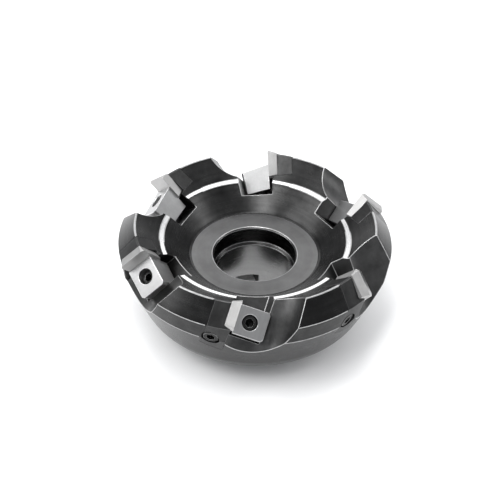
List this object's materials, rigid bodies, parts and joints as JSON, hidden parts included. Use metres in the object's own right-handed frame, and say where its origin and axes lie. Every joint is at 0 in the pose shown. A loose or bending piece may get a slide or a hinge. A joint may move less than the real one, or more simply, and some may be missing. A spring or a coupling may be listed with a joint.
{
  "type": "face mill",
  "caption": "Dished face mill: a ring body with slanted gullets carrying square inserts on their corners, each held by a wedge and screw and backed by a locator; back bore with drive slots.",
  "frame": {"origin": "centre of the bore on the body's flat back face, where the arbor's shoulder seats", "axes": "+Z along the axis of rotation, from the back face to the cutting face; +X along the two drive slots; +Y completes the frame"},
  "size_m": [0.1424, 0.1448, 0.0621],
  "materials": {
    "body_steel": "black oxide with a soft satin sheen, ground bright on the rim, ridge, bore and back face",
    "carbide": "ground, light grey",
    "wedge_steel": "ground, light grey",
    "screw_steel": "black oxide",
    "locator_steel": "black oxide"
  },
  "bodies": {
    "cutter": {"cutter_body": "body_steel", "locator_1": "locator_steel", "locator_2": "locator_steel", "locator_3": "locator_steel", "locator_4": "locator_steel", "locator_5": "locator_steel", "locator_6": "locator_steel", "locator_screw_1": "screw_steel", "locator_screw_2": "screw_steel", "locator_screw_3": "screw_steel", "locator_screw_4": "screw_steel", "locator_screw_5": "screw_steel", "locator_screw_6": "screw_steel"},
    "insert_1": {"insert_1": "carbide"},
    "wedge_1": {"wedge_1": "wedge_steel"},
    "wedge_screw_1": {"wedge_screw_1": "screw_steel"},
    "insert_2": {"insert_2": "carbide"},
    "wedge_2": {"wedge_2": "wedge_steel"},
    "wedge_screw_2": {"wedge_screw_2": "screw_steel"},
    "insert_3": {"insert_3": "carbide"},
    "wedge_3": {"wedge_3": "wedge_steel"},
    "wedge_screw_3": {"wedge_screw_3": "screw_steel"},
    "insert_4": {"insert_4": "carbide"},
    "wedge_4": {"wedge_4": "wedge_steel"},
    "wedge_screw_4": {"wedge_screw_4": "screw_steel"},
    "insert_5": {"insert_5": "carbide"},
    "wedge_5": {"wedge_5": "wedge_steel"},
    "wedge_screw_5": {"wedge_screw_5": "screw_steel"},
    "insert_6": {"insert_6": "carbide"},
    "wedge_6": {"wedge_6": "wedge_steel"},
    "wedge_screw_6": {"wedge_screw_6": "screw_steel"}
  },
  "joints": [
    {"name": "insert_1_slide", "type": "slide", "parent": "cutter", "child": "insert_1", "axis": [0.1073, 0.2355, 0.9659], "range_m": [0, 0.024]},
    {"name": "insert_2_slide", "type": "slide", "parent": "cutter", "child": "insert_2", "axis": [-0.1503, 0.2107, 0.9659], "range_m": [0, 0.024]},
    {"name": "insert_3_slide", "type": "slide", "parent": "cutter", "child": "insert_3", "axis": [-0.2576, -0.0248, 0.9659], "range_m": [0, 0.024]},
    {"name": "insert_4_slide", "type": "slide", "parent": "cutter", "child": "insert_4", "axis": [-0.1073, -0.2355, 0.9659], "range_m": [0, 0.024]},
    {"name": "insert_5_slide", "type": "slide", "parent": "cutter", "child": "insert_5", "axis": [0.1503, -0.2107, 0.9659], "range_m": [0, 0.024]},
    {"name": "insert_6_slide", "type": "slide", "parent": "cutter", "child": "insert_6", "axis": [0.2576, 0.0248, 0.9659], "range_m": [0, 0.024]},
    {"name": "wedge_1_slide", "type": "slide", "parent": "cutter", "child": "wedge_1", "axis": [0.7193, -0.1267, 0.683], "range_m": [0, 0.0025]},
    {"name": "wedge_2_slide", "type": "slide", "parent": "cutter", "child": "wedge_2", "axis": [0.4694, 0.5596, 0.683], "range_m": [0, 0.0025]},
    {"name": "wedge_3_slide", "type": "slide", "parent": "cutter", "child": "wedge_3", "axis": [-0.2499, 0.6863, 0.683], "range_m": [0, 0.0025]},
    {"name": "wedge_4_slide", "type": "slide", "parent": "cutter", "child": "wedge_4", "axis": [-0.7193, 0.1267, 0.683], "range_m": [0, 0.0025]},
    {"name": "wedge_5_slide", "type": "slide", "parent": "cutter", "child": "wedge_5", "axis": [-0.4694, -0.5596, 0.683], "range_m": [0, 0.0025]},
    {"name": "wedge_6_slide", "type": "slide", "parent": "cutter", "child": "wedge_6", "axis": [0.2499, -0.6863, 0.683], "range_m": [0, 0.0025]},
    {"name": "wedge_screw_1_turn", "type": "hinge", "parent": "cutter", "child": "wedge_screw_1", "pos_m": [0.05176, -0.01818, 0.04133], "axis": [0.7193, -0.1267, 0.683], "range_deg": [0, 360]},
    {"name": "wedge_screw_2_turn", "type": "hinge", "parent": "cutter", "child": "wedge_screw_2", "pos_m": [0.04162, 0.03573, 0.04133], "axis": [0.4694, 0.5596, 0.683], "range_deg": [0, 360]},
    {"name": "wedge_screw_3_turn", "type": "hinge", "parent": "cutter", "child": "wedge_screw_3", "pos_m": [-0.01013, 0.05391, 0.04133], "axis": [-0.2499, 0.6863, 0.683], "range_deg": [0, 360]},
    {"name": "wedge_screw_4_turn", "type": "hinge", "parent": "cutter", "child": "wedge_screw_4", "pos_m": [-0.05176, 0.01818, 0.04133], "axis": [-0.7193, 0.1267, 0.683], "range_deg": [0, 360]},
    {"name": "wedge_screw_5_turn", "type": "hinge", "parent": "cutter", "child": "wedge_screw_5", "pos_m": [-0.04162, -0.03573, 0.04133], "axis": [-0.4694, -0.5596, 0.683], "range_deg": [0, 360]},
    {"name": "wedge_screw_6_turn", "type": "hinge", "parent": "cutter", "child": "wedge_screw_6", "pos_m": [0.01013, -0.05391, 0.04133], "axis": [0.2499, -0.6863, 0.683], "range_deg": [0, 360]}
  ],
  "couplings": [
    {"joint": "wedge_screw_1_turn", "follows": "wedge_1_slide", "rad_per_m": 2513.3},
    {"joint": "wedge_screw_2_turn", "follows": "wedge_2_slide", "rad_per_m": 2513.3},
    {"joint": "wedge_screw_3_turn", "follows": "wedge_3_slide", "rad_per_m": 2513.3},
    {"joint": "wedge_screw_4_turn", "follows": "wedge_4_slide", "rad_per_m": 2513.3},
    {"joint": "wedge_screw_5_turn", "follows": "wedge_5_slide", "rad_per_m": 2513.3},
    {"joint": "wedge_screw_6_turn", "follows": "wedge_6_slide", "rad_per_m": 2513.3}
  ]
}
